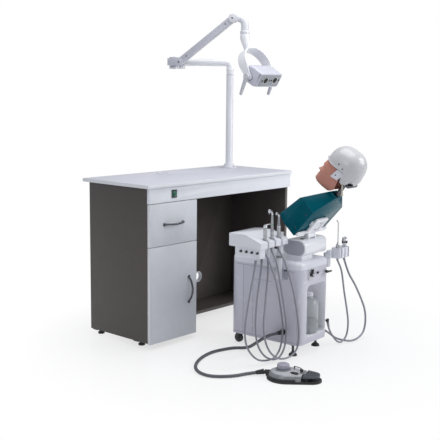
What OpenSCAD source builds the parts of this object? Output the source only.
// Dental simulation unit: writing desk with drawer, cupboard and knee space, an exam lamp on
// a post, and a roll-in cart that carries the phantom patient, the instrument tray, the
// suction holder and a floor pedal. Millimetres, Z up, floor at z = 0.
// Desk axes: X along the desk front, Y from the front edge into the desk.
// Cart axes: u along the cart front, v towards the desk. The cart stands at an angle.

/* [Desk] */
// width over the two side panels
desk_w = 1084; // [900:1:1400]
// depth of the side panels
desk_d = 416; // [350:1:550]
// height of the tabletop surface
desk_h = 800; // [700:1:900]
// thickness of the tabletop
top_t = 16; // [12:1:30]
// thickness of the carcass boards
board_t = 18; // [14:1:25]
// thickness of drawer, door and apron fronts
front_t = 18; // [14:1:25]
// height of the feet
foot_h = 30; // [15:1:60]
// width of the drawer and cupboard pedestal
pedestal_w = 325; // [260:1:450]
// height of the apron below the tabletop
apron_h = 75; // [50:1:110]
// height of the drawer front
drawer_h = 205; // [140:1:260]
// gap between neighbouring fronts
front_gap = 3; // [2:0.5:6]
// centre distance of a bow handle
handle_span = 128; // [96:1:160]
// rod diameter of a bow handle
handle_rod = 10; // [8:0.5:14]

/* [Lamp] */
// diameter of the lamp post and the level arm
post_d = 40; // [32:1:50]
// height of the lower post above the tabletop
post_h = 525; // [400:1:700]
// diameter of the inner pivot spigot
spigot_d = 26; // [18:1:30]
// length of the level arm
arm_l = 317; // [250:1:450]
// direction of the level arm
arm_az = 130.5; // [90:0.5:180]
// level distance between the spring arm pivots
spring_run = 304.5; // [220:0.5:420]
// rise between the spring arm pivots
spring_rise = 235; // [120:1:320]
// direction of the spring arm
spring_az = -63.3; // [-120:0.1:0]
// gap between the bow and each side of the lamp head
yoke_gap = 9; // [6:1:20]
// width of the lamp head
head_w = 178; // [150:1:200]
// downward tilt of the lamp head
head_tilt = 30; // [0:1:60]
// diameter of lamp pivot pins
lamp_pin_d = 12; // [8:1:16]

/* [Cart] */
// width of the cart cabinet
cart_w = 252; // [200:1:320]
// depth of the cart cabinet
cart_d = 409; // [320:1:500]
// gap between the wheels and their mounting plates
wheel_clear = 5; // [2:1:20]
// height of the cabinet top
cart_h = 453; // [380:1:560]
// height of the separate top cap
cap_h = 35; // [25:1:60]
// wall thickness of the cabinet shell
cart_wall = 5; // [3:0.5:8]
// radius of the upright cabinet corners
cart_r = 36; // [20:1:60]
// angle of the cart against the desk
cart_yaw = 3.1; // [-10:0.1:10]
// diameter of a cart wheel
wheel_d = 46; // [36:1:50]
// width of a cart wheel
wheel_w = 18; // [12:1:26]
// diameter of the wheel axle
axle_d = 8; // [6:0.5:12]
// width of the bottle niche
niche_w = 168; // [120:1:200]
// height left above the bottle niche, below the cap seam
niche_head = 82; // [70:1:120]
// depth of the bottle niche
niche_depth = 150; // [110:1:240]
// diameter of the water bottle
bottle_d = 96; // [80:1:110]
// free height above the bottle in its niche
bottle_head = 45; // [20:1:80]

/* [Phantom] */
// half width of the torso at the back
torso_half = 127; // [110:1:140]
// depth of the torso
torso_depth = 135; // [110:1:160]
// length of the torso flank
torso_l = 159; // [120:1:190]
// length of the torso up to the neck collar
collar_a = 245; // [220:1:290]
// angle of the torso above the level
torso_tilt = 48; // [30:1:70]
// wall thickness of the torso shell
torso_wall = 4; // [3:0.5:6]
// diameter of the torso pivot pin
torso_pin_d = 12; // [8:1:16]
// diameter of the neck rod
neck_d = 22; // [16:1:28]
// half width of the skull
skull_half = 77; // [68:1:85]
// backward tilt of the face
head_recline = 30; // [0:1:45]

/* [Tray] */
// width of the tray
tray_w = 215; // [180:1:280]
// depth of the tray
tray_d = 180; // [150:1:220]
// underside of the tray above the floor
tray_z = 538; // [480:1:620]
// diameter of the tray post
tray_post_d = 27; // [20:1:35]
// distance between the instrument slots
slot_pitch = 54; // [45:1:60]
// width of the instrument slots
slot_w = 12; // [10:0.5:16]
// running gap of the turning joints
run_gap = 0.05; // [0.02:0.01:0.1]

/* [Pedal] */
// length of the pedal
pedal_l = 245; // [220:1:320]
// width of the pedal
pedal_w = 180; // [140:1:200]
// height of the pedal body
pedal_h = 44; // [36:1:60]

/* [Node] */
// sub-part to build

/* [Hidden] */
$fn = 64;
// desk stations
foot_x = 43;
foot_y = 85;
foot_back = 30;
carcass_top = desk_h - top_t;
apron_z = carcass_top - apron_h;
drawer_z1 = apron_z - front_gap;
drawer_z0 = drawer_z1 - drawer_h;
door_z1 = drawer_z0 - front_gap;
door_z0 = foot_h - 4;
top_over = [21, 12, 29, 2];
back_y = desk_d - board_t;
knee_y = 210;
knee_x1 = desk_w - board_t;
shelf_z = drawer_z0 - 14;
inner_w = pedestal_w - 2 * board_t;
runner_t = 12;
runner_gap = 0.4;
box_wall = 12;
box_w = inner_w - 2 * runner_t - 2;
box_x = board_t + runner_t + 1;
box_l = desk_d - 46;
box_z = drawer_z0 + 22;
box_h = drawer_h - 50;
front_w = pedestal_w - front_gap;
drawer_mid = drawer_z0 + drawer_h / 2;
drawer_handle_x = pedestal_w / 2 - 2.5;
handle_rise = 27;
handle_r = (pow(handle_span / 2, 2) + pow(handle_rise, 2)) / (2 * handle_rise);
handle_a = asin(handle_span / 2 / handle_r);
door_handle_x = pedestal_w - 57;
door_handle_z = 260;
switch_x = pedestal_w / 2 + 0.5;
switch_z = carcass_top - 37;
switch_w = 28;
switch_h = 32;
grommet_d = 56;
top_grommet = [443, desk_d - 72];
wall_grommet = [778, 180];
// lamp stations
post_x = desk_w - 120;
post_y = desk_d - 83;
spigot_h = 50;
seam_z = desk_h + post_h;
arm_z = seam_z + 67;
elbow_r = 26;
knuckle_d = 54;
knuckle_body_d = 50;
knuckle_pin_d = 20;
knuckle_h = 56;
knuckle_off = 51;
knuckle_side = 50;
spring_w = 34;
spring_h = 42;
clevis_w = 52;
spring_l = sqrt(spring_run * spring_run + spring_rise * spring_rise);
spring_el = atan2(spring_rise, spring_run);
goose_run = 65;
goose_drop = 81;
goose_r = 38;
goose_d = 42;
swivel_pin_d = 20;
stem_run = 20;
stem_side = 12;
stem_drop = 83;
stem_slant = norm([stem_run, stem_side, stem_drop - 30.2]);
stem_turn = atan2(stem_side, stem_run);
stem_lean = atan2(norm([stem_run, stem_side]), stem_drop - 30.2);
yoke_tilt = 29;
yoke_leg = 68;
yoke_t = 7;
yoke_r = head_w / 2 + yoke_gap + yoke_t;
yoke_wide = 56;
head_x0 = -52;
head_x1 = 68;
head_b0 = -38;
head_b1 = 58;
head_rim = 10;
// cart stations
cart_x = 400;
cart_y = -608;
fork_t = 4;
cart_z0 = wheel_d + wheel_clear + fork_t;
cap_z = cart_h - cap_h;
cap_round = 20;
niche_x = 60;
niche_z = 86;
niche_h = cap_z - niche_z - niche_head;
bottle_h = niche_h - bottle_head;
niche_r = 24;
wheel_v = cart_d - 28;
wheel_u = 36;
fork_gap = wheel_w + 1;
foot_pos = [[22, 48], [cart_w - 22, 55]];
bottle_u = niche_x + niche_w / 2 + 14;
bottle_v = bottle_d / 2 + 4;
grommet_v = 91.5;
grommet_z = 112;
slot_v = 83;
plate_t = 3;
lever_u = 85;
lever_z = cap_z - 29;
button_u = 144;
button_z = cap_z - 29;
button_gap = 0.3;
tee_u = 212;
tee_z = cap_z - 32;
hose1_z = 120;
hose2_z = 78;
// phantom stations
mid_u = 150;
house_u0 = 60;
house_l = cart_w - 57;
house_v0 = 14;
house_w = 130;
house_z0 = cart_h + 16;
house_h = 81;
hip_v = 60;
hip_z = cart_h + 122.5;
pivot_v = 50;
pivot_z = cart_h + 109;
lug_u = 22;
lug_t = 10;
barrel_r = 12;
pivot_a = -(pivot_v - hip_v) * cos(torso_tilt) + (pivot_z - hip_z) * sin(torso_tilt);
pivot_n = (pivot_v - hip_v) * sin(torso_tilt) + (pivot_z - hip_z) * cos(torso_tilt);
collar_half = 28;
shoulder_a = 41;
chest_lean = 12.5;
chest_drop = (torso_l - 22) * tan(chest_lean);
chest_a = 32;
neck_half = 15;
neck_reach = 108;
neck_n = 13;
neck_lean = -9;
neck_free = 78.5;
neck_ball = 17;
skull_mid = 119;
skull_rise = 8;
jaw_pin_d = 8;
ball_back = 152.3;
ball_below = 51.8;
// tray stations
tray_v = 75;
tray_back = tray_v + tray_d;
tray_top_f = tray_z + 28;
tray_top_b = tray_z + 59;
tray_spigot = 22;
post_z0 = cart_h - 83;
tray_post_u = -18;
tray_post_v = 108;
slot_u = [-47.8 - 2 * slot_pitch, -47.8 - slot_pitch, -47.8];
well_v = 95;
well_d = 21;
tool_d = 18;
knob_d = 12;
knob_v = [100, 131, 162, 193];
knob_z = tray_z - 20;
box_u0 = 11 - tray_w;
box_u1 = -152;
return_u = [-190, -143, -95];
return_v = 120;
hose_d = 9;
// holder stations
hold_u0 = 290;
hold_w = 93;
hold_v0 = -37;
hold_d = 53;
hold_z = cart_h - 15;
hold_h = 50;
ejector_u = 302;
suction_u = 364;
cup_v = -14;
// pedal stations
pedal_u = -266;
pedal_v = -153.2;
pedal_rot = -71.3;
pedal_big = pedal_w / 2 - 6;
pedal_small = pedal_big - 36;
split_x = 44;
bail_x = -6;
bail_y = 24;
bail_r = 44;
bail_z = 50;
foot_hose_d = 16;
// hose lines from the return glands round the loop to the instruments
loop_z = tray_z - 58;
tool_z = tray_z + 10.3;
syringe_line = [
    [-190, 120, 480], [-208, 116, 430], [-262, 104, 300], [-302, 92, 175], [-290, 82, 95],
    [-232, 74, 36], [-160, 70, 14], [-95, 69, 16], [-54, 68, 55], [-42, 66, 132], [-54, 64, 203],
    [-98, 66, 360], [-140, 74, 460], [-155.8, 95, 518], [-155.8, 95, 548]
];
high_line = [
    [-143, 120, 480], [-157, 114, 430], [-206, 98, 300], [-236, 82, 190], [-232, 71, 105],
    [-190, 62, 44], [-132, 54, 15], [-82, 52, 17], [-48, 49, 58], [-38, 47, 133], [-50, 47, 203],
    [-78, 54, 340], [-96, 70, 460], [-101.8, 95, 518], [-101.8, 95, 548]
];
low_line = [
    [-95, 120, 480], [-109, 108, 430], [-158, 84, 300], [-196, 66, 190], [-200, 52, 120],
    [-172, 42, 60], [-116, 32, 20], [-50, 20, 14], [-4, 12, 40], [4, 4, 96], [-4, 6, 180],
    [-28, 22, 330], [-44, 60, 460], [-47.8, 95, 518], [-47.8, 95, 548]
];
ejector_line = [
    [302, -14, 448], [302, -14, 428], [320, -28, 372], [346, -32, 262], [374, -34, 167], [386, -36, 98],
    [374, -36, 40], [340, -32, 12], [308, -24, 18], [280, -14, 48], [267, 0, 84], [264, 8, 120]
];
suction_line = [
    [364, -14, 448], [364, -14, 426], [388, -30, 350], [430, -44, 285], [480, -52, 208],
    [514, -56, 144], [522, -58, 84], [500, -60, 34], [446, -58, 10], [378, -48, 10], [330, -4, 26],
    [288, 22, 62], [262, 38, 78]
];
foot_line = [[-6, grommet_v, grommet_z], [-42, 97, 112], [-74, 128, 100], [-84, 176, 66], [-72, 232, 28],
    [-64, 274, 12], [-78, 306, 8.5], [-112, 328, 8.5], [-190, 350, 8.5], [-268, 346, 8.5], [-354, 318, 8.5],
    [-432, 270, 8.5], [-478, 212, 8.5], [-490, 152, 8.5], [-468, 104, 8.5], [-420, 60, 8.5], [-364, 36, 8.5],
    [-328, 8, 12], [-310, -22, 19]];

module place_desk() translate([-foot_x, -foot_y, 0]) children();
module place_cart() place_desk() translate([cart_x, cart_y, 0]) rotate([0, 0, cart_yaw]) children();

// rectangle with true round corners
module rrect(w, d, r) {
    translate([r, 0]) square([w - 2 * r, d]);
    translate([0, r]) square([w, d - 2 * r]);
    for (x = [r, w - r]) for (y = [r, d - r]) translate([x, y]) circle(r = r);
}

// upright block with round vertical corners
module rblock(w, d, h, r) linear_extrude(h) rrect(w, d, r);

// block with round vertical corners and a rounded top edge
module domed_block(w, d, h, rc, rt) {
    ri = rc - rt;
    rblock(w, d, h - rt, rc);
    translate([rt, rt, 0]) rblock(w - 2 * rt, d - 2 * rt, h, ri);
    for (x = [rc, w - rc]) for (y = [rc, d - rc]) {
        translate([x, y, h - rt]) rotate_extrude() translate([ri, 0]) intersection() {
            circle(r = rt);
            translate([0, -rt]) square([rt, 2 * rt]);
        }
    }
    for (y = [rt, d - rt]) translate([rc, y, h - rt]) rotate([0, 90, 0]) cylinder(r = rt, h = w - 2 * rc);
    for (x = [rt, w - rt]) translate([x, rc, h - rt]) rotate([-90, 0, 0]) cylinder(r = rt, h = d - 2 * rc);
}

function unit(a) = a / norm(a);
function side(t) = abs(t[2]) > 0.9 ? unit(cross(t, [1, 0, 0])) : unit(cross(t, [0, 0, 1]));
function slope(p, i) = unit(p[min(i + 1, len(p) - 1)] - p[max(i - 1, 0)]);
function frames(p, i, n) = i >= len(p) ? [] : let (
    t = slope(p, i), m = unit(n - t * (n * t))
) concat([m], frames(p, i + 1, m));

// tube swept along a line of points
module sweep_tube(points, d, sides) {
    ns = frames(points, 0, side(slope(points, 0)));
    ring = [for (i = [0 : len(points) - 1]) for (k = [0 : sides - 1])
        let (t = slope(points, i), m = ns[i], b = cross(t, m), q = 360 * k / sides)
        points[i] + d / 2 * (m * cos(q) + b * sin(q))];
    n = len(points);
    wall = [for (i = [0 : n - 2]) for (k = [0 : sides - 1])
        let (k2 = (k + 1) % sides) [i * sides + k, (i + 1) * sides + k, (i + 1) * sides + k2, i * sides + k2]];
    ends = [[for (k = [0 : sides - 1]) k], [for (k = [sides - 1 : -1 : 0]) (n - 1) * sides + k]];
    polyhedron(ring, concat(wall, ends), convexity = 8);
}

// desk pieces
module tabletop() color("#d8dbdf") place_desk() difference() {
    translate([-top_over[0], -front_t - top_over[1], carcass_top])
        rblock(desk_w + top_over[0] + top_over[3], desk_d + front_t + top_over[1] + top_over[2], top_t, 4);
    translate([top_grommet[0], top_grommet[1], carcass_top - 1]) cylinder(d = grommet_d, h = top_t + 2);
}

module side_panels() color("#4a4642") place_desk() for (x = [0, desk_w - board_t])
    translate([x, 0, foot_h]) cube([board_t, desk_d, carcass_top - foot_h]);

module inner_boards() color("#3a3633") place_desk() {
    translate([pedestal_w - board_t, 0, foot_h]) cube([board_t, back_y, carcass_top - foot_h]);
    translate([board_t, 0, foot_h]) cube([inner_w, back_y, board_t]);
    translate([board_t, 0, shelf_z]) cube([inner_w, back_y, board_t - 2]);
    translate([pedestal_w, knee_y, foot_h]) cube([knee_x1 - pedestal_w, back_y - knee_y, board_t]);
    difference() {
        translate([board_t, back_y, foot_h]) cube([desk_w - 2 * board_t, board_t, carcass_top - foot_h]);
        translate([wall_grommet[0], back_y - 1, wall_grommet[1]]) rotate([-90, 0, 0])
            cylinder(d = grommet_d, h = board_t + 2);
    }
}

module apron_panel() color("#dfe2e5") place_desk() difference() {
    translate([0, -front_t, apron_z]) cube([desk_w, front_t, apron_h]);
    translate([switch_x - switch_w / 2, -front_t - 1, switch_z - switch_h / 2])
        cube([switch_w, front_t + 2, switch_h]);
}

module grommet_ring(t) difference() {
    union() {
        translate([0, 0, t]) cylinder(d = grommet_d + 8, h = 2.5);
        cylinder(d = grommet_d, h = t + 0.1);
    }
    translate([0, 0, -1]) cylinder(d = grommet_d - 7, h = t + 5);
}

module cable_grommets() color("#c9ccce") place_desk() {
    translate([top_grommet[0], top_grommet[1], carcass_top]) grommet_ring(top_t);
    translate([wall_grommet[0], desk_d, wall_grommet[1]]) rotate([90, 0, 0]) grommet_ring(board_t);
}

module desk_feet() color("#2c2c2e") place_desk()
    for (x = [foot_x, desk_w - foot_x]) for (y = [foot_y, desk_d - foot_back]) translate([x, y, 0]) {
        cylinder(d = 34, h = 8);
        cylinder(d = 24, h = foot_h - 4);
        translate([x > foot_x ? -17 : 2 - foot_x, -17, foot_h - 4]) cube([foot_x + 15, 34, 4]);
    }

module drawer_runners() color("#8d9296") place_desk() for (s = [0, 1])
    translate([s == 0 ? board_t : pedestal_w - board_t, 6, box_z + box_h / 2]) mirror([s, 0, 0]) difference() {
        translate([0, 0, -20]) cube([runner_t, box_l - 10, 40]);
        translate([3, -1, -10 - runner_gap]) cube([runner_t, box_l, 20 + 2 * runner_gap]);
    }

module drawer_front() color("#dfe2e5") place_desk()
    translate([front_gap / 2, -front_t, drawer_z0]) cube([front_w, front_t - runner_gap, drawer_h]);

module drawer_box() color("#b9bcbe") place_desk() {
    difference() {
        translate([box_x, -runner_gap, box_z]) cube([box_w, box_l + runner_gap, box_h]);
        translate([box_x + box_wall, box_wall, box_z + 6])
            cube([box_w - 2 * box_wall, box_l - 2 * box_wall, box_h]);
    }
    for (s = [0, 1]) translate([s == 0 ? box_x + 0.1 : box_x + box_w - 0.1, 10, box_z + box_h / 2 - 10])
        mirror([1 - s, 0, 0]) cube([runner_t - 3, box_l - 14, 20]);
}

module bow_handle() difference() {
    union() {
        translate([0, handle_r - handle_rise, 0]) rotate([0, 0, -90 - handle_a - 6])
            rotate_extrude(angle = 2 * handle_a + 12, $fn = 96) translate([handle_r, 0]) circle(d = handle_rod);
        for (x = [-1, 1]) translate([x * handle_span / 2, 0, 0]) rotate([90, 0, 0]) cylinder(d = 15, h = 4);
    }
    translate([-handle_span, 0, -20]) cube([2 * handle_span, 60, 40]);
}

module drawer_handle() color("#34363a") place_desk() translate([drawer_handle_x, -front_t, drawer_mid]) bow_handle();

module door_panel() color("#dfe2e5") place_desk()
    translate([front_gap / 2, -front_t, door_z0]) cube([front_w, front_t - runner_gap, door_z1 - door_z0]);

module door_handle() color("#34363a") place_desk()
    translate([door_handle_x, -front_t, door_handle_z]) rotate([0, 90, 0]) bow_handle();

module power_rocker() color("#2f9d57") place_desk() translate([switch_x, -front_t + 6, switch_z])
    rotate([0, 90, 0]) intersection() {
        translate([0, 0, -switch_w / 2 + 1]) cylinder(r = 15, h = switch_w - 2);
        translate([-15, -12, -15]) cube([30, 26, 30]);
    }

// quarter bend from +X at the origin down to -Z
module elbow(d, r) translate([0, 0, -r]) rotate([90, 0, 0]) rotate_extrude(angle = 90) translate([r, 0]) circle(d = d);

// lamp pieces
module lamp_post() color("#dcdfe1") place_desk() translate([post_x, post_y, desk_h]) {
    cylinder(d = 92, h = 8);
    cylinder(d = 56, h = 22);
    cylinder(d = post_d, h = post_h);
    cylinder(d = spigot_d, h = post_h + spigot_h);
}

module place_arm() place_desk() translate([post_x, post_y, arm_z]) rotate([0, 0, arm_az]) children();

module lamp_swing_arm() color("#d5d9dc") place_arm() {
    difference() {
        union() {
            translate([0, 0, seam_z + 0.4 - arm_z]) cylinder(d = post_d, h = arm_z - seam_z - 0.4 - elbow_r);
            translate([elbow_r, 0, 0]) mirror([1, 0, 0]) elbow(post_d, elbow_r);
            translate([elbow_r, 0, 0]) rotate([0, 90, 0])
                cylinder(d = post_d, h = arm_l - elbow_r - knuckle_d / 2 - 2);
        }
        translate([0, 0, seam_z - arm_z - 1]) cylinder(d = spigot_d + 2 * run_gap, h = spigot_h + 2);
    }
    translate([arm_l - knuckle_d / 2 - 19, 0, -knuckle_h / 2 - 9]) cylinder(d = 34, h = knuckle_h / 2 + 9);
    translate([arm_l - knuckle_d / 2 - 19, -17, -knuckle_h / 2 - 9]) cube([knuckle_d / 2 + 19, 34, 8.6]);
    translate([arm_l, 0, -knuckle_h / 2 - 9]) cylinder(d = knuckle_d, h = 8.6);
    translate([arm_l, 0, -knuckle_h / 2 - 1]) cylinder(d = knuckle_pin_d, h = knuckle_h - 8);
}

module place_spring() place_arm() translate([arm_l, 0, 0]) rotate([0, 0, spring_az - arm_az]) children();

module lamp_knuckle() color("#cfd3d6") place_spring() {
    difference() {
        union() {
            translate([0, 0, -knuckle_h / 2]) cylinder(d = knuckle_body_d, h = knuckle_h);
            translate([-14, -knuckle_side, -20]) cube([28, knuckle_side, 40]);
            translate([-14, -knuckle_side - clevis_w / 2, -20]) cube([knuckle_off + 14, clevis_w, 40]);
            translate([knuckle_off, -knuckle_side - clevis_w / 2, 0]) rotate([-90, 0, 0]) cylinder(d = 44, h = clevis_w);
        }
        translate([0, 0, -knuckle_h / 2 - 1]) cylinder(d = knuckle_pin_d + 2 * run_gap, h = knuckle_h - 6);
        translate([knuckle_off, -knuckle_side - spring_w / 2 - 0.4, 0]) rotate([-90, 0, 0])
            cylinder(d = spring_h + 2, h = spring_w + 0.8);
        translate([knuckle_off, -knuckle_side - spring_w / 2 - 0.4, -40]) cube([60, spring_w + 0.8, 80]);
    }
    translate([knuckle_off, -knuckle_side - clevis_w / 2 + 1, 0]) rotate([-90, 0, 0])
        cylinder(d = lamp_pin_d, h = clevis_w - 2);
}

module place_lift() place_spring() translate([knuckle_off, -knuckle_side, 0]) children();

module lamp_spring_arm() color("#c6c7d2") place_lift() difference() {
    rotate([0, -spring_el, 0]) union() {
        translate([0, -spring_w / 2, -spring_h / 2 + 3]) cube([spring_l, spring_w, spring_h - 6]);
        for (x = [0, spring_l]) translate([x, -spring_w / 2, 0]) rotate([-90, 0, 0])
            cylinder(d = spring_h, h = spring_w);
    }
    translate([0, -spring_w, 0]) rotate([-90, 0, 0]) cylinder(d = lamp_pin_d + 2 * run_gap, h = 2 * spring_w);
    translate([spring_run, -spring_w, spring_rise]) rotate([-90, 0, 0])
        cylinder(d = lamp_pin_d + 2 * run_gap, h = 2 * spring_w);
}

module place_goose() place_lift() translate([spring_run, 0, spring_rise]) children();

module lamp_gooseneck() color("#cfd3d6") place_goose() {
    difference() {
        union() {
            translate([0, -clevis_w / 2, -17]) cube([goose_run - goose_r, clevis_w, 34]);
            translate([0, -clevis_w / 2, 0]) rotate([-90, 0, 0]) cylinder(d = 44, h = clevis_w);
        }
        translate([0, -spring_w / 2 - 0.4, 0]) rotate([-90, 0, 0]) cylinder(d = spring_h + 2, h = spring_w + 0.8);
        translate([-40, -spring_w / 2 - 0.4, -40]) cube([40, spring_w + 0.8, 80]);
    }
    translate([0, -clevis_w / 2 + 1, 0]) rotate([-90, 0, 0]) cylinder(d = lamp_pin_d, h = clevis_w - 2);
    translate([goose_run - goose_r, 0, 0]) elbow(goose_d, goose_r);
    translate([goose_run, 0, -goose_drop + 0.2]) cylinder(d = goose_d, h = goose_drop - goose_r - 0.2);
    translate([goose_run, 0, -goose_drop - 24]) cylinder(d = swivel_pin_d, h = 40);
}

module place_yoke() place_goose() translate([goose_run, 0, -goose_drop]) rotate([0, 0, -90 - spring_az]) children();

module yoke_outline() difference() {
    union() {
        circle(r = yoke_r);
        translate([-yoke_r, -yoke_leg - 16]) square([2 * yoke_r, yoke_leg + 16]);
    }
    circle(r = yoke_r - yoke_t);
    translate([yoke_t - yoke_r, -3 * yoke_r]) square([2 * (yoke_r - yoke_t), 3 * yoke_r]);
}

module lamp_yoke() color("#dfe2e6") place_yoke() {
    difference() {
        union() {
            translate([0, 0, -30.2]) cylinder(d = goose_d + 6, h = 30);
            translate([0, 0, -30.2]) sphere(d = goose_d);
            translate([0, 0, -30.2]) rotate([0, 180 - stem_lean, stem_turn]) cylinder(d = goose_d - 4, h = stem_slant);
        }
        translate([0, 0, -26]) cylinder(d = swivel_pin_d + 2 * run_gap, h = 40);
    }
    translate([stem_run, stem_side, -stem_drop]) rotate([0, -yoke_tilt, 0]) {
        translate([0, 0, 3]) cylinder(d = 46, h = 16, center = true);
        translate([0, 0, -yoke_r]) difference() {
            intersection() {
                translate([-yoke_wide / 2, 0, 0]) rotate([90, 0, 90]) linear_extrude(yoke_wide, $fn = 96) yoke_outline();
                rotate([90, 0, 0]) linear_extrude(4 * yoke_r, center = true)
                    polygon([[-14, -yoke_leg - 17], [14, -yoke_leg - 17], [yoke_wide / 2, 10], [yoke_wide / 2, yoke_r + 1],
                        [-yoke_wide / 2, yoke_r + 1], [-yoke_wide / 2, 10]]);
            }
            translate([0, 0, -yoke_leg]) rotate([90, 0, 0])
                cylinder(d = lamp_pin_d + 2 * run_gap, h = 3 * yoke_r, center = true);
        }
    }
}

module place_head() place_yoke() translate([
    stem_run + (yoke_leg + yoke_r) * sin(yoke_tilt), stem_side,
    -stem_drop - (yoke_leg + yoke_r) * cos(yoke_tilt)
]) rotate([0, head_tilt, 0]) children();

module lamp_housing() color("#e2e4ea") place_head() difference() {
    intersection() {
        translate([head_x0, head_w / 2 + 5, head_b0]) rotate([90, 0, 0]) linear_extrude(head_w + 10)
            rrect(head_x1 - head_x0, head_b1 - head_b0, 30);
        translate([head_x0, -head_w / 2, head_b0 - 5]) rblock(head_x1 - head_x0 + 40, head_w, head_b1 - head_b0 + 10, 20);
    }
    translate([head_x0 + 10, -head_w / 2 + head_rim, head_b0 + 12]) cube([200, head_w - 2 * head_rim, head_b1 - head_b0 - 24]);
    rotate([90, 0, 0]) cylinder(d = lamp_pin_d, h = 2 * head_w, center = true);
}

module lamp_front_panel() color("#9b9ca6") place_head() difference() {
    translate([head_x1 - 10, -head_w / 2 + head_rim, head_b0 + 12])
        cube([6, head_w - 2 * head_rim, head_b1 - head_b0 - 24]);
    for (s = [-1, 1]) translate([head_x1, s * head_w / 4.4, (head_b0 + head_b1) / 2]) rotate([0, 90, 0])
        cylinder(d = 46, h = 14, center = true);
}

module lamp_handles() color("#b9bbc0") place_head() for (s = [-1, 1]) mirror([0, s < 0 ? 1 : 0, 0]) {
    translate([0, head_w / 2 - head_rim, 0]) rotate([-90, 0, 0])
        cylinder(d = lamp_pin_d, h = yoke_r - head_w / 2 + head_rim + 2);
    translate([0, yoke_r + 0.4, 0]) rotate([-90, 0, 0]) cylinder(d = 34, h = 18);
    translate([0, yoke_r + 13, 0]) rotate([0, 180 - 8, 0]) cylinder(d1 = 24, d2 = 17, h = 96);
    translate([0, yoke_r + 13, 0]) rotate([0, 180 - 8, 0]) translate([0, 0, 96]) sphere(d = 17.4);
}

// cart pieces
module cabinet_shell() color("#dcdfe2") place_cart() difference() {
    translate([0, 0, cart_z0]) rblock(cart_w, cart_d, cap_z - cart_z0, cart_r);
    difference() {
        translate([cart_wall, cart_wall, cart_z0 + cart_wall])
            rblock(cart_w - 2 * cart_wall, cart_d - 2 * cart_wall, cap_z - cart_z0, cart_r - cart_wall);
        translate([niche_x - cart_wall, niche_depth + cart_wall, niche_z - cart_wall]) rotate([90, 0, 0])
            linear_extrude(niche_depth + cart_wall)
            rrect(niche_w + 2 * cart_wall, niche_h + 2 * cart_wall, niche_r + cart_wall);
        for (q = foot_pos) translate([q[0], q[1], cart_z0]) cylinder(d = 30, h = 12);
    }
    translate([niche_x, niche_depth, niche_z]) rotate([90, 0, 0]) linear_extrude(niche_depth + 10)
        rrect(niche_w, niche_h, niche_r);
    translate([-1, grommet_v, grommet_z]) rotate([0, 90, 0]) cylinder(d = 24, h = cart_wall + 2);
    translate([button_u, -1, button_z]) rotate([-90, 0, 0]) cylinder(d = 9 + 2 * button_gap, h = cart_wall + 2);
    translate([lever_u, -1, lever_z]) rotate([-90, 0, 0]) cylinder(d = 8, h = cart_wall + 2);
    translate([tee_u, -1, tee_z]) rotate([-90, 0, 0]) cylinder(d = 8, h = cart_wall + 2);
    translate([-1, slot_v - 10, cap_z - 52]) cube([cart_wall + 2, 20, 46]);
    difference() {
        translate([-1, -1, 66]) cube([cart_w + 2, cart_d + 2, 1.6]);
        translate([1, 1, 60]) rblock(cart_w - 2, cart_d - 2, 12, cart_r - 1);
    }
    translate([-1, 330, 68]) cube([2, 2, cap_z - 80]);
    translate([-1, cart_r, cap_z - 12]) cube([2, cart_d - 2 * cart_r, 1.6]);
    translate([-1, 161, cap_z - 74]) cube([2, 113, 1.6]);
    translate([-1, 272.4, 68]) cube([2, 1.6, cap_z - 141]);
}

module cabinet_top_cap() color("#e4e6e9") place_cart() translate([0, 0, cap_z]) {
    domed_block(cart_w, cart_d, cap_h, cart_r, cap_round);
    translate([cart_wall, cart_wall, -8]) difference() {
        rblock(cart_w - 2 * cart_wall, cart_d - 2 * cart_wall, 8.1, cart_r - cart_wall);
        translate([4, 4, -1]) rblock(cart_w - 2 * cart_wall - 8, cart_d - 2 * cart_wall - 8, 9, cart_r - cart_wall - 4);
    }
}

module cabinet_fittings() color("#3c3f43") place_cart() {
    translate([-6, grommet_v, grommet_z]) rotate([0, 90, 0]) cylinder(d = 29, h = 6);
    translate([-6, grommet_v, grommet_z]) rotate([0, 90, 0]) cylinder(d = 24, h = 6 + cart_wall);
    translate([0, slot_v - 10, cap_z - 52]) cube([cart_wall - 1, 20, 46]);
    translate([lever_u - 21, -plate_t, lever_z - 26]) difference() {
        cube([42, plate_t, 52]);
        translate([21, -1, 26]) rotate([-90, 0, 0]) cylinder(d = 8 + 2 * run_gap, h = plate_t + 2);
    }
    translate([tee_u, -plate_t, tee_z]) rotate([-90, 0, 0]) difference() {
        cylinder(d = 22, h = plate_t);
        translate([0, 0, -1]) cylinder(d = 8 + 2 * run_gap, h = plate_t + 2);
    }
    translate([cart_w, 8, hose1_z + 10]) rotate([0, 90, 0]) cylinder(d = 13, h = 12);
    translate([cart_w + 12, 8, hose1_z]) cylinder(d = 13, h = 16.5);
    translate([cart_w, cart_r + 2, hose2_z]) rotate([0, 90, 0]) cylinder(d = 14, h = 10);
}

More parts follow.
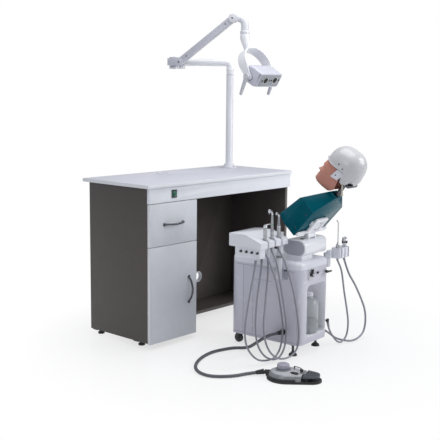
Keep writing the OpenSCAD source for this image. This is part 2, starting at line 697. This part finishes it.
module cart_undercarriage() color("#4a4d50") place_cart() {
    for (q = foot_pos) translate([q[0], q[1], 0]) {
        cylinder(d1 = 42, d2 = 36, h = 9);
        cylinder(d = 22, h = 16);
        cylinder(d = 12, h = cart_z0 + 10);
        translate([0, 0, cart_z0 - 6]) cylinder(d = 24, h = 6);
    }
    for (x = [wheel_u, cart_w - wheel_u]) translate([x, wheel_v, 0]) {
        translate([-18, -30, cart_z0 - fork_t]) cube([36, 46, fork_t]);
        for (s = [-1, 1]) translate([s * (fork_gap / 2 + 1.5), 0, 0]) {
            translate([-1.5, -10, wheel_d / 2]) cube([3, 20, cart_z0 - wheel_d / 2]);
            translate([-1.5, 0, wheel_d / 2]) rotate([0, 90, 0]) cylinder(d = 20, h = 3);
        }
        translate([-fork_gap / 2 - 4, 0, wheel_d / 2]) rotate([0, 90, 0]) cylinder(d = axle_d, h = fork_gap + 8);
    }
}

module wheel(x) place_cart() translate([x - wheel_w / 2, wheel_v, wheel_d / 2]) rotate([0, 90, 0]) difference() {
    rotate_extrude($fn = 96) polygon([[3, 0], [wheel_d / 2 - 3, 0], [wheel_d / 2, 3],
        [wheel_d / 2, wheel_w - 3], [wheel_d / 2 - 3, wheel_w], [3, wheel_w]]);
    translate([0, 0, -1]) cylinder(d = axle_d + 2 * run_gap, h = wheel_w + 2);
}
module left_wheel() color("#35373a") wheel(wheel_u);
module right_wheel() color("#35373a") wheel(cart_w - wheel_u);

module selector_lever() color("#2b2d30") place_cart() translate([lever_u, 0, lever_z]) {
    translate([0, -plate_t - 0.3, 0]) rotate([90, 0, 0]) cylinder(d = 20, h = 14);
    translate([-5, -plate_t - 13, -4]) cube([10, 9, 30]);
    rotate([-90, 0, 0]) translate([0, 0, -plate_t - 1]) cylinder(d = 8 - 0.02, h = cart_wall + plate_t + 9);
    translate([0, 12, 0]) rotate([-90, 0, 0]) cylinder(d = 14, h = 4);
}

module push_button() color("#1f2124") place_cart() translate([button_u, 0, button_z]) {
    translate([0, -6, 0]) rotate([-90, 0, 0]) cylinder(d = 12, h = 2);
    translate([0, -4.5, 0]) rotate([-90, 0, 0]) cylinder(d = 9, h = cart_wall + 8);
    translate([0, cart_wall + 0.5, 0]) rotate([-90, 0, 0]) cylinder(d = 14, h = 4);
}

module t_lever() color("#2b2d30") place_cart() translate([tee_u, 0, tee_z]) {
    translate([0, -plate_t - 17, 0]) rotate([-90, 0, 0]) cylinder(d = 11, h = 17);
    translate([-22, -plate_t - 19, 0]) rotate([0, 90, 0]) cylinder(d = 9, h = 44);
    rotate([-90, 0, 0]) translate([0, 0, -plate_t - 1]) cylinder(d = 8 - 0.02, h = cart_wall + 12);
    translate([0, 12, 0]) rotate([-90, 0, 0]) cylinder(d = 14, h = 4);
}

module water_bottle() color("#c9d6dc") place_cart() translate([bottle_u, bottle_v, niche_z + 0.3]) {
    rotate_extrude() polygon([[0, 0], [bottle_d / 2 - 5, 0], [bottle_d / 2, 5], [bottle_d / 2, bottle_h - 60],
        [bottle_d / 2 - 8, bottle_h - 42], [16, bottle_h - 26], [16, bottle_h - 18], [20, bottle_h - 18],
        [20, bottle_h], [0, bottle_h]]);
}

// phantom pieces
module mount_housing() color("#e3e5e8") place_cart() {
    difference() {
        union() {
            translate([house_u0 - 1, house_v0 + 20, cart_h - 0.05]) cube([91, house_w - 40, 26]);
            intersection() {
                translate([house_u0, house_v0, house_z0]) rotate([90, 0, 90]) linear_extrude(house_l)
                    rrect(house_w, house_h, 38);
                translate([house_u0, house_v0, house_z0]) rblock(house_l, house_w, house_h, 22);
            }
            translate([house_u0 - 3, house_v0, house_z0]) rotate([90, 0, 90]) linear_extrude(16)
                rrect(house_w, house_h, 38);
            for (s = [-1, 1]) translate([mid_u + s * (lug_u + lug_t / 2), pivot_v, pivot_z]) rotate([0, 90, 0])
                cylinder(d = 26, h = lug_t, center = true);
            for (s = [-1, 1]) translate([mid_u + s * (lug_u + lug_t / 2) - lug_t / 2, pivot_v - 13, house_z0 + 40])
                cube([lug_t, 30, pivot_z - house_z0 - 40]);
        }
        translate([mid_u - lug_u, pivot_v - 20, pivot_z - 15]) cube([2 * lug_u, 40, 40]);
    }
    translate([mid_u - lug_u - lug_t - 3, pivot_v, pivot_z]) rotate([0, 90, 0])
        cylinder(d = torso_pin_d, h = 2 * (lug_u + lug_t + 3));
}

module place_torso() place_cart() translate([mid_u, hip_v, hip_z]) rotate([90 - torso_tilt, 0, 0]) children();

module torso_bracket() color("#d9dbe0") place_torso() difference() {
    union() {
        translate([-35, -14, 16]) rotate([90, 0, 0]) mirror([0, 0, 1]) linear_extrude(14) rrect(70, 86, 12);
        translate([-lug_u + 0.4, pivot_n, pivot_a]) rotate([0, 90, 0]) cylinder(r = barrel_r, h = 2 * lug_u - 0.8);
        translate([-lug_u + 0.4, -14, pivot_a]) cube([2 * lug_u - 0.8, 8, 26]);
        translate([-62, -4, 62]) cube([30, 4, 26]);
    }
    translate([-20, -20, 20]) cube([40, 12, 90]);
    translate([-lug_u - 1, pivot_n, pivot_a]) rotate([0, 90, 0]) cylinder(d = torso_pin_d + 2 * run_gap, h = 2 * lug_u + 2);
}

module torso_form(g) difference() {
    translate([0, 0, g]) linear_extrude(collar_a - 2 * g) polygon([[g - torso_half, g], [torso_half - g, g],
        [torso_half - 3 - g, 80], [torso_half - 32 - g / 2, torso_depth - g],
        [32 - torso_half + g / 2, torso_depth - g], [3 - torso_half + g, 80]]);
    for (s = [-1, 1]) translate([s * (torso_half - g), -1, torso_l - g]) rotate([0, s * shoulder_a, 0])
        translate([s > 0 ? -200 : -200, 0, 0]) cube([400, 200, 200]);
    translate([-200, torso_depth - g, 8 - g]) rotate([chest_lean, 0, 0]) cube([400, 200, 320]);
    translate([-200, torso_depth - chest_drop - g, torso_l - 14 - g]) rotate([chest_a, 0, 0]) cube([400, 200, 200]);
}

module torso_shell() color("#0b6a72") place_torso() difference() {
    union() {
        torso_form(0);
        translate([-collar_half, 0.5, collar_a - 40]) cube([2 * collar_half, 36, 40]);
    }
    difference() {
        translate([0, 0, -torso_wall]) torso_form(torso_wall);
        translate([-200, -1, torso_l - 4]) cube([400, 300, 200]);
    }
    translate([0, neck_n, collar_a]) rotate([neck_lean, 0, 0]) translate([0, 0, neck_free - neck_reach - 0.5])
        cylinder(d = neck_d + 2 * run_gap, h = 80);
    translate([collar_half + 3, -1, collar_a - 30]) cube([9, 60, 60]);
}

module place_neck() place_torso() translate([0, neck_n, collar_a]) rotate([neck_lean, 0, 0])
    translate([0, 0, neck_free]) children();

module neck_rod() color("#4b4c50") place_neck() difference() {
    union() {
        translate([0, 0, -neck_reach]) cylinder(d = neck_d, h = neck_reach);
        rotate([0, 90, 0]) cylinder(r = neck_ball, h = 2 * neck_half, center = true);
        translate([0, 0, 4 - neck_free]) cylinder(d = neck_d + 8, h = 6);
    }
    rotate([0, 90, 0]) cylinder(d = 10 + 2 * run_gap, h = 80, center = true);
}

module neck_lever() color("#d8d2c4") place_neck() rotate([torso_tilt - 90 - neck_lean, 0, 0]) difference() {
    union() {
        translate([-neck_half - 21, 0, 0]) rotate([0, 90, 0]) cylinder(d = 22, h = 8);
        translate([-neck_half - 17, 0, -58]) cylinder(d = 8, h = 58);
        translate([-neck_half - 17, 0, -58]) sphere(d = 12);
    }
    translate([-80, 0, 0]) rotate([0, 90, 0]) cylinder(d = 10 + 2 * run_gap, h = 80);
}

module place_skull() place_neck() rotate([head_recline + torso_tilt - 90 - neck_lean, 0, 0])
    translate([0, ball_back, ball_below]) children();

module skull_shell() color("#c9cbce") place_skull() {
    difference() {
        hull() for (y = [-14, 14]) for (z = [-14, 14])
            translate([0, y - skull_mid, skull_rise + z]) sphere(r = skull_half, $fn = 36);
        translate([-150, -152, -250]) cube([300, 200, 252]);
        translate([-150, -400, -250]) cube([300, 260, 200]);
        translate([-46, -200, -60]) cube([92, 100, 30]);
    }
    for (s = [-1, 1]) translate([s * 64 - 2.5, 0, 0]) rotate([90, 0, 90]) linear_extrude(5)
        polygon([[-119, 6], [-158, 6], [-156, -10], [-137, -47], [-99, -50]]);
    translate([-27, -106, -58]) cube([54, 64, 64]);
    translate([0, -72, -70]) difference() {
        cylinder(r = 34, h = 13);
        translate([0, 0, -1]) cylinder(r = 25, h = 9);
        translate([-60, -70, -1]) cube([120, 70, 20]);
        for (s = [-1, 1]) translate([s * 38 - 8, -30, -1]) cube([16, 60, 20]);
    }
    translate([-38, -69, -44]) rotate([0, 90, 0]) cylinder(d = jaw_pin_d, h = 76);
    for (s = [-1, 1]) translate([s * (neck_half + 0.4 + 4) - 4, 0, 0])
        translate([0, -ball_back - 14, -ball_below - 12]) cube([8, 34, ball_below - 8]);
    translate([-neck_half - 22, -ball_back, -ball_below]) rotate([0, 90, 0]) cylinder(d = 10, h = 2 * neck_half + 36);
}

module face_mask() color("#c08a76") place_skull() difference() {
    hull() for (s = [-1, 1]) {
        translate([s * 32, -52, -12]) sphere(r = 20, $fn = 32);
        translate([s * 22, -34, -108]) sphere(r = 20, $fn = 32);
        translate([s * 32, -84, -112]) sphere(r = 17, $fn = 32);
        translate([s * 48, -110, -72]) sphere(r = 12, $fn = 32);
        translate([s * 48, -104, -16]) sphere(r = 12, $fn = 32);
    }
    hull() for (s = [-1, 1]) {
        translate([s * 32, -60, 14]) sphere(r = 18, $fn = 32);
        translate([s * 22, -40, -106]) sphere(r = 16, $fn = 32);
        translate([s * 32, -92, -109]) sphere(r = 13, $fn = 32);
        translate([s * 46, -150, -66]) sphere(r = 9, $fn = 32);
        translate([s * 46, -150, 10]) sphere(r = 9, $fn = 32);
    }
    translate([-26, -60, -95]) cube([52, 90, 14]);
    translate([-150, -250, 1.7]) cube([300, 300, 100]);
}

module jaw_frame() color("#e4dfd2") place_skull() {
    for (s = [-1, 1]) translate([s * 34 - 3, 0, 0]) difference() {
        union() {
            translate([0, -76, -84]) cube([6, 14, 40]);
            translate([0, -69, -44]) rotate([0, 90, 0]) cylinder(d = 15, h = 6);
            translate([0, -76, -92]) cube([6, 16, 12]);
        }
        translate([-1, -69, -44]) rotate([0, 90, 0]) cylinder(d = jaw_pin_d + 2 * run_gap, h = 8);
    }
    translate([0, -70, -92]) difference() {
        cylinder(r = 37, h = 10);
        translate([0, 0, -1]) cylinder(r = 27, h = 12);
        translate([-60, -70, -1]) cube([120, 70, 12]);
    }
}

// tray pieces
module tray_post() color("#d6d9dc") place_cart() {
    translate([tray_post_u, tray_post_v, post_z0]) cylinder(d = tray_post_d, h = tray_z - post_z0 - 0.3);
    translate([tray_post_u, tray_post_v, post_z0]) cylinder(d = tray_spigot, h = tray_z - post_z0 + 40);
    translate([tray_post_u, tray_post_v - 9, post_z0 + 6]) cube([-tray_post_u, 18, 24]);
}

module tray_body() color("#e0e3e6") place_cart() difference() {
    union() {
        translate([0, tray_v, tray_z]) mirror([1, 0, 0]) rotate([90, 0, 90]) linear_extrude(tray_w)
            polygon([[0, 0], [tray_d, 0], [tray_d, 59], [88, 59], [0, 28]]);
        translate([box_u0, 88, tray_z - 46]) cube([box_u1 - box_u0, 140, 46.1]);
        translate([-40, 135, cart_h]) cylinder(d = 18, h = tray_z - cart_h + 1);
        translate([tray_post_u, tray_post_v, tray_z]) cylinder(d = 34, h = 54);
        for (x = return_u) translate([x, return_v, tray_z - 58]) cylinder(d = hose_d + 3, h = 58.2);
    }
    translate([tray_post_u, tray_post_v, tray_z - 1]) cylinder(d = tray_spigot + 2 * run_gap, h = 43);
    for (x = slot_u) {
        translate([x, well_v, tray_z + 10]) cylinder(d = well_d, h = 80);
        translate([x - slot_w / 2, tray_v - 1, tray_z - 47]) cube([slot_w, well_v - tray_v + 7, 150]);
    }
    for (v0 = knob_v) translate([box_u0 - 1, v0, knob_z]) rotate([0, 90, 0]) cylinder(d = 6, h = 16);
    translate([0, tray_v + tray_d, tray_z - 60]) rotate([0, 0, 45]) translate([-14, -40, 0]) cube([40, 80, 140]);
}

module flow_knobs() color("#2a2c30") place_cart() for (v0 = knob_v) translate([box_u0, v0, knob_z]) {
    rotate([0, -90, 0]) cylinder(d1 = knob_d, d2 = knob_d - 3, h = 10);
    rotate([0, 90, 0]) cylinder(d = 6, h = 12);
}

module tool(i, l) translate([slot_u[i], well_v, tray_z + 10.3]) {
    cylinder(d1 = 11, d2 = tool_d, h = 12);
    translate([0, 0, 12]) cylinder(d = tool_d, h = l - 12);
}

module air_syringe() color("#8d9094") place_cart() {
    tool(0, 70);
    translate([slot_u[0], well_v, tray_z + 80]) {
        cylinder(d1 = tool_d, d2 = 14, h = 16);
        translate([0, 0, 16]) sphere(d = 15);
        translate([0, 0, 16]) rotate([0, 80, -28]) cylinder(d = 7, h = 46);
        translate([0, -12, 4]) rotate([-90, 0, 0]) cylinder(d = 8, h = 8);
    }
}

module high_speed_handpiece() color("#a5a8ab") place_cart() {
    tool(1, 60);
    translate([slot_u[1], well_v, tray_z + 70]) {
        cylinder(d1 = tool_d - 2, d2 = 12, h = 40);
        translate([0, 0, 40]) cylinder(d = 13, h = 44);
        translate([0, 0, 84]) sphere(d = 14);
        translate([0, 0, 84]) rotate([0, -75, 0]) cylinder(d1 = 12, d2 = 8, h = 30);
        translate([-26, 0, 84]) cylinder(d = 11, h = 17);
    }
}

module low_speed_handpiece() color("#97999c") place_cart() {
    tool(2, 66);
    translate([slot_u[2], well_v, tray_z + 76]) {
        cylinder(d1 = tool_d, d2 = 13, h = 30);
        translate([0, 0, 30]) cylinder(d = 12, h = 22);
        translate([0, 0, 52]) sphere(d = 13);
        translate([0, 0, 52]) rotate([0, -70, 0]) cylinder(d1 = 11, d2 = 8, h = 22);
    }
}

module syringe_hose() color("#8f9296") place_cart() sweep_tube(syringe_line, hose_d, 8);
module high_speed_hose() color("#8f9296") place_cart() sweep_tube(high_line, hose_d, 8);
module low_speed_hose() color("#8f9296") place_cart() sweep_tube(low_line, hose_d, 8);

// suction holder pieces
module instrument_holder() color("#d6d9dd") place_cart() {
    difference() {
        union() {
            translate([hold_u0 - 6, hold_v0, hold_z]) rblock(hold_w + 6, hold_d, hold_h, 14);
            translate([270, 26, hold_z - 42]) cylinder(d = 34, h = 68);
            translate([262, 4, hold_z]) cube([30, 22, 38]);
        }
        for (x = [ejector_u, (ejector_u + suction_u) / 2, suction_u]) {
            translate([x, cup_v, hold_z + 10]) cylinder(d = well_d + 2, h = 80);
            translate([x - slot_w / 2, hold_v0 - 1, hold_z - 1]) cube([slot_w, cup_v - hold_v0 + 6, 80]);
        }
    }
    translate([cart_w, cart_r, hold_z - 40]) cube([18, 20, 24]);
    translate([258, 26, hold_z - 42]) cube([24, 30, 26]);
}

module saliva_ejector() color("#b4b7ba") place_cart() translate([ejector_u, cup_v, hold_z + 10.3]) {
    cylinder(d1 = 11, d2 = 19, h = 12);
    translate([0, 0, 12]) cylinder(d = 19, h = 40);
    translate([0, 0, 52]) cylinder(d1 = 17, d2 = 8, h = 14);
    translate([0, 0, 66]) cylinder(d = 6.5, h = 100);
    translate([0, 0, 166]) sphere(d = 6.5);
    translate([0, 0, 166]) rotate([0, -60, 0]) cylinder(d = 6.5, h = 18);
}

module suction_handpiece() color("#c2c5c8") place_cart() translate([suction_u, cup_v, hold_z + 10.3]) {
    cylinder(d1 = 11, d2 = 20, h = 12);
    translate([0, 0, 12]) cylinder(d = 20, h = 44);
    translate([0, 0, 52]) cylinder(d = 27, h = 20);
    translate([0, 0, 72]) cylinder(d1 = 27, d2 = 22, h = 14);
}

module ejector_hose() color("#b9bbc2") place_cart() sweep_tube(ejector_line, hose_d, 8);
module suction_hose() color("#b9bbc2") place_cart() sweep_tube(suction_line, hose_d + 1, 8);

// pedal pieces
module place_pedal() place_cart() translate([pedal_u, pedal_v, 0]) rotate([0, 0, pedal_rot]) children();

module pedal_outline(g) hull() {
    translate([pedal_big - pedal_l / 2, 0]) circle(r = pedal_big - g);
    translate([pedal_l / 2 - pedal_small, 0]) circle(r = pedal_small - g);
}

module pedal_base() color("#26282b") place_pedal() {
    linear_extrude(10) pedal_outline(0);
    translate([-pedal_l / 2 - 12, 0, 19]) rotate([0, 90, 0]) cylinder(d1 = 20, d2 = 24, h = 24);
    translate([-pedal_l / 2 - 4, -14, 5]) cube([16, 28, 14]);
    for (s = [-1, 1]) translate([60, s * 40 - 4, 8]) cube([8, 8, 14]);
}

module pedal_cover() color("#8e9195") place_pedal() difference() {
    union() {
        translate([0, 0, 10]) linear_extrude(16) pedal_outline(6);
        translate([0, 0, 26]) linear_extrude(8) pedal_outline(14);
        translate([-50, 0, 30]) cylinder(d = 72, h = pedal_h - 30);
        translate([-50, 0, pedal_h - 4]) cylinder(d = 56, h = 26);
        translate([0, 0, 34]) linear_extrude(6) pedal_outline(24);
    }
    translate([split_x, -pedal_w, 9.5]) cube([pedal_l, 2 * pedal_w, 60]);
    translate([-pedal_l / 2 - 40, -14.5, 9]) cube([52, 29, 23]);
    translate([bail_x, bail_y, 20]) cylinder(d = 6 + 2 * run_gap, h = 40);
}

module pedal_pad() color("#3f4a57") place_pedal() {
    difference() {
        translate([0, 0, 24]) linear_extrude(9) pedal_outline(8);
        translate([-pedal_l, -pedal_w, 20]) cube([pedal_l + split_x + 6, 2 * pedal_w, 40]);
    }
    translate([64, -32, 16]) cube([8, 64, 9]);
}

module pedal_lever() color("#3a3c40") place_pedal() {
    translate([bail_x, bail_y, 22]) cylinder(d = 6, h = bail_z + 2 - 22);
    translate([bail_x, bail_y - bail_r, bail_z]) rotate_extrude(angle = 90) translate([bail_r, 0]) circle(d = 4);
    translate([bail_x + bail_r, bail_y - bail_r, bail_z]) sphere(d = 17);
}

module foot_hose() color("#55585c") place_cart() sweep_tube(foot_line, foot_hose_d, 8);

tabletop();
side_panels();
inner_boards();
apron_panel();
cable_grommets();
desk_feet();
drawer_runners();
drawer_front();
drawer_box();
drawer_handle();
door_panel();
door_handle();
power_rocker();
lamp_post();
lamp_swing_arm();
lamp_knuckle();
lamp_spring_arm();
lamp_gooseneck();
lamp_yoke();
lamp_housing();
lamp_front_panel();
lamp_handles();
cabinet_shell();
cabinet_top_cap();
cabinet_fittings();
cart_undercarriage();
left_wheel();
right_wheel();
selector_lever();
push_button();
t_lever();
water_bottle();
mount_housing();
torso_bracket();
torso_shell();
neck_rod();
neck_lever();
skull_shell();
face_mask();
jaw_frame();
tray_post();
tray_body();
flow_knobs();
air_syringe();
high_speed_handpiece();
low_speed_handpiece();
syringe_hose();
high_speed_hose();
low_speed_hose();
instrument_holder();
saliva_ejector();
suction_handpiece();
ejector_hose();
suction_hose();
pedal_base();
pedal_cover();
pedal_pad();
pedal_lever();
foot_hose();
